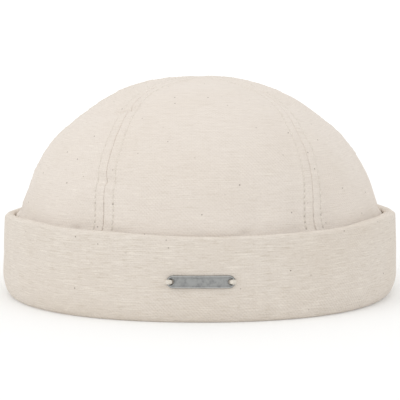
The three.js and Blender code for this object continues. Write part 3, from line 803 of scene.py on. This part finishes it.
def plate_half(sign):
    """Half of the plate as rays from its hole to its outline, front and back, open along the middle line.

    The border rises on an S-curve, and the edges are rounded by a quarter circle. Gives points, faces and a
    mark that is 1 where the metal is rubbed bright and -1 where it is dark: patina in the groove inside the
    border, painted shade along the outline and patina with painted shade round the hole.
    """
    x, y, outside = half_outline(40, 36, 16)
    angle = np.arctan2(y, x - HOLE_ALONG)
    hole_x, hole_y = HOLE_ALONG + HOLE_RADIUS * np.cos(angle), HOLE_RADIUS * np.sin(angle)
    share = 0.5 - 0.5 * np.cos(np.linspace(0, math.pi, 17))
    grid_x = hole_x[:, None] + (x - hole_x)[:, None] * share
    grid_y = hole_y[:, None] + (y - hole_y)[:, None] * share
    over_end = np.clip(grid_x - (PLATE_LENGTH / 2 - PLATE_RADIUS), 0, None)
    to_outline = PLATE_RADIUS - np.hypot(over_end, grid_y)
    to_hole = np.hypot(grid_x - HOLE_ALONG, grid_y) - HOLE_RADIUS
    to_edge = np.clip(np.minimum(to_outline, to_hole), 0, EDGE_ROUND)
    rounding = EDGE_ROUND - np.sqrt(EDGE_ROUND**2 - (EDGE_ROUND - to_edge) ** 2)
    border = BORDER / (1 + np.exp((to_outline - BORDER_WIDTH) / BORDER_FADE))
    front = SEAT_GAP + PLATE_THICKNESS - BORDER + border - rounding
    points = [off_cuff(sign * grid_x, grid_y, out).reshape(-1, 3) for out in (front, SEAT_GAP + 0 * front)]
    count = grid_x.size
    index = np.arange(count).reshape(grid_x.shape)
    following = np.roll(index, -1, 0)
    face = np.stack([index[:, :-1], index[:, 1:], following[:, 1:], following[:, :-1]], -1).reshape(-1, 4)
    edges = (index[:, 0], following[:, 0]), (following[:outside, -1], index[:outside, -1])
    walls = [np.stack([start, end, end + count, start + count], -1) for start, end in edges]
    faces = np.concatenate([face, face[:, ::-1] + count, *walls])
    bright = 0.65 * np.exp(-(((to_outline - RUBBED_AT) / RUBBED_HALF) ** 2))
    # The groove's darkening is patina; the outline's is painted shade, and the hole's is patina and painted
    # shade.
    dark = 0.5 * np.exp(-(((to_outline - GROOVE_AT) / GROOVE_HALF) ** 2))
    dark += np.exp(-to_outline / EDGE_DARK) + np.exp(-to_hole / HOLE_DARK)
    wear_and_shade = np.stack([np.clip(bright - dark, -1, 1), 0 * bright]).reshape(-1)
    return np.concatenate(points), faces if sign > 0 else faces[:, ::-1], wear_and_shade


def antique_pewter(name):
    """Stamped pewter-coloured zinc, darkened and rubbed: a soft cool grey, satin and mottled by its patina.

    Its border shows brighter where it is rubbed. Painted shade darkens its outline, and patina with painted
    shade the rims of its holes.
    """
    finish, tree, shader = blank_finish(name, Metallic=1.0)
    place = add(tree, "ShaderNodeTexCoord").outputs["Object"]
    look = {"Scale": 1 / (1.6 * MM), "Detail": 5.0, "Roughness": 0.65}
    mottle = add(tree, "ShaderNodeTexNoise", look, {"Vector": place}).outputs[0]
    look = {"Scale": 1 / (0.3 * MM), "Detail": 2.0}
    grain = add(tree, "ShaderNodeTexNoise", look, {"Vector": place}).outputs[0]
    wear_and_shade = add(tree, "ShaderNodeAttribute", attribute_name="worn_and_shaded").outputs["Fac"]
    rubbed = add(tree, "ShaderNodeMapRange", {1: 0.0, 2: 1.0}, {0: wear_and_shade}).outputs[0]
    # Patina in the groove, and painted shade along the outline and round the holes
    sunk_and_shaded = add(tree, "ShaderNodeMapRange", {1: 0.0, 2: -1.0, 4: 0.75}, {0: wear_and_shade}).outputs[0]
    dark = add(tree, "ShaderNodeMapRange", {1: 0.45, 2: 0.7, 4: 0.6}, {0: mottle}).outputs[0]
    shade = add(tree, "ShaderNodeRGB").outputs[0]
    shade.default_value = linear("#a2a3a2")
    for tone, share in (("#727373", dark), ("#c6c6c4", rubbed), ("#4e4d4b", sunk_and_shaded)):
        mixed = add(tree, "ShaderNodeMix", {7: linear(tone)}, {0: share, 6: shade}, data_type="RGBA")
        shade = mixed.outputs[2]
    tree.links.new(shade, shader.inputs["Base Color"])
    rough = add(tree, "ShaderNodeMath", {1: 0.25, 2: 0.3}, {0: mottle}, operation="MULTIPLY_ADD").outputs[0]
    tree.links.new(rough, shader.inputs["Roughness"])
    bump = add(tree, "ShaderNodeBump", {"Strength": 0.3, "Distance": 0.04 * MM}, {"Height": grain})
    tree.links.new(bump.outputs[0], shader.inputs["Normal"])
    return finish


# The two halves are joined along the middle line, where their points meet.
right_points, right_faces, right_wear_and_shade = plate_half(1)
left_points, left_faces, left_wear_and_shade = plate_half(-1)
points = np.concatenate([right_points, left_points])
faces = np.concatenate([right_faces, left_faces + len(right_points)])
places = np.round(points / WELD).astype(np.int64)
_, first, same = np.unique(places, axis=0, return_index=True, return_inverse=True)
plate = smooth_piece("plate_metal", points[first], same.ravel()[faces])
worn_and_shaded = plate.data.attributes.new("worn_and_shaded", "FLOAT", "POINT")
worn_and_shaded.data.foreach_set("value", np.concatenate([right_wear_and_shade, left_wear_and_shade])[first].astype(np.float32))
plate.data.materials.append(antique_pewter("antique_pewter"))
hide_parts("plate")
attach(plate, "root")


# Thread tacks
# Thick cream thread that holds the plate on. At each end a few turns come out of the hole, lie side by side
# over the plate's round end and go back into the cloth beside it.

STRANDS = 5
STRAND_RADIUS = 0.23 * MM
STRAND_SPACING = 0.34 * MM
STRAND_SIDES = 8
STRAND_DOME = 0.3 * MM  # how much higher the middle strand lies than the outer ones
HOLE_SIDE = HOLE_ALONG - 0.3 * MM  # where the strands come out, so that they fill the hole

# A strand's course by shares of its length: how far it has got from the hole to beside the plate's end, and
# how high it stands as a share of the height at which it lies on the plate.
STRAND_REACH = (0, 0.25, 0.35, 0.65, 0.8, 1), (0, 0, 0.15, 0.85, 1, 1)
STRAND_HEIGHT = (0, 0.25, 0.4, 0.6, 0.8, 1), (0, 0.8, 1.08, 1.08, 0.7, -0.2)


def tack(name, side):
    """Strands of a tack as tubes: each climbs from the hole, crosses the plate's end and drops to the cloth.

    A running mean softens its course, and half a sine wave spreads the strands where they lie on the plate.
    """
    random = np.random.default_rng(30 + side)
    on_plate = SEAT_GAP + PLATE_THICKNESS + STRAND_RADIUS
    beside = PLATE_LENGTH / 2 + STRAND_RADIUS
    length = np.linspace(0, 1, 25)
    soften = np.array((1, 2, 3, 2, 1)) / 9
    along, out = (
        np.convolve(np.pad(np.interp(length, *course), 2, mode="edge"), soften, "valid")
        for course in (STRAND_REACH, STRAND_HEIGHT)
    )
    across_plate = np.sin(math.pi * along)
    paths = []
    for strand in range(STRANDS):
        off_middle = strand - (STRANDS - 1) / 2
        fan = off_middle * STRAND_SPACING * (0.6 + 0.6 * across_plate) + random.normal(0, 0.03 * MM, 1)
        reach = HOLE_SIDE + (beside - HOLE_SIDE) * along
        dome = STRAND_DOME * (1 - (2 * off_middle / (STRANDS - 1)) ** 2) * across_plate
        paths.append(off_cuff(side * reach, fan, on_plate * out + dome))
    paths = np.array(paths)
    outs = np.broadcast_to(np.array((0.0, 0.0, 1.0)), paths.shape)
    piece = smooth_piece(name + "_thread", *tubes(paths, outs, STRAND_RADIUS, STRAND_SIDES))
    piece.data.materials.append(sewing_thread)
    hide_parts(name)
    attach(piece, "root")


tack("plate_tack_left", -1)
tack("plate_tack_right", 1)


# Floor, light and camera
# A pale paper sweep that runs up behind the cap, a wide soft light from the upper left and front, one from
# above, and an even pale surround. The camera looks a little down on the cap's front from 0.9 m away.

FLOOR_HALF = 4.0
FLOOR_FRONT = -5.0
FLOOR_BACK = 2.2
SWEEP_RADIUS = 1.0
WALL_TOP = 3.5
EYE_DISTANCE = 0.9
EYE_PITCH = math.radians(5.66)
AIM_HEIGHT = 41.15 * MM
PICTURE_WIDTH = 400
PIXELS_PER_METRE = 2134.6  # at the cap's middle
SENSOR = 36.0
LIT_PLACE = Vector((0, 0, 0.05))
SURROUND_STRENGTH = 0.93

scene = bpy.context.scene
bend = np.linspace(-math.pi / 2, 0, 25)
bend_y, bend_z = FLOOR_BACK + SWEEP_RADIUS * np.cos(bend), SWEEP_RADIUS + SWEEP_RADIUS * np.sin(bend)
sweep_y = np.concatenate([[FLOOR_FRONT], bend_y, [FLOOR_BACK + SWEEP_RADIUS]])
sweep_z = np.concatenate([[0.0], bend_z, [WALL_TOP]])
sweep_x = np.array((-FLOOR_HALF, FLOOR_HALF))
points = np.stack(np.broadcast_arrays(sweep_x, sweep_y[:, None], sweep_z[:, None]), -1).reshape(-1, 3)
faces = grid_faces(np.arange(len(points)).reshape(-1, 2))
floor = smooth_piece("paper_sweep", points, faces)

# Matt paper that glows a little, and more behind the cap, so that it shows as bright as the surround.
paper, paper_tree, paper_shader = blank_finish("pale_paper", Roughness=0.9)
paper_shader.inputs["Base Color"].default_value = linear("#e2e2e1")
paper_shader.inputs["Emission Color"].default_value = linear("#ffffff")
place = add(paper_tree, "ShaderNodeTexCoord").outputs["Object"]
behind = add(paper_tree, "ShaderNodeSeparateXYZ", links={0: place}).outputs["Y"]
glow = add(paper_tree, "ShaderNodeMapRange", {1: 0.0, 2: 1.2, 3: 0.17, 4: 0.32}, {0: behind})
paper_tree.links.new(glow.outputs[0], paper_shader.inputs["Emission Strength"])
floor.data.materials.append(paper)


def soft_light(name, place, size, power):
    """Square area light at a place, turned to face the cap."""
    lamp = bpy.data.lights.new(name, "AREA")
    lamp.size, lamp.energy = size, power
    light = bpy.data.objects.new(name, lamp)
    light.location = place
    light.rotation_euler = (LIT_PLACE - Vector(place)).to_track_quat("-Z", "Y").to_euler()
    scene.collection.objects.link(light)


soft_light("left_softbox", (-1.3, -1.1, 1.1), 1.2, 3.9)
soft_light("top_softbox", (0.0, -0.3, 1.7), 1.4, 4.4)

world = bpy.data.worlds.new("pale_surround")
world.use_nodes = True
surround = world.node_tree.nodes["Background"]
surround.inputs["Color"].default_value = linear("#ffffff")
surround.inputs["Strength"].default_value = SURROUND_STRENGTH
scene.world = world
scene.view_settings.view_transform = "Standard"

eye = bpy.data.cameras.new("eye")
eye.sensor_width = SENSOR
eye.lens = SENSOR * PIXELS_PER_METRE * EYE_DISTANCE / PICTURE_WIDTH
camera = bpy.data.objects.new("eye", eye)
camera.location = (0, -EYE_DISTANCE * math.cos(EYE_PITCH), AIM_HEIGHT + EYE_DISTANCE * math.sin(EYE_PITCH))
camera.rotation_euler = (math.pi / 2 - EYE_PITCH, 0, 0)
scene.collection.objects.link(camera)
scene.camera = camera
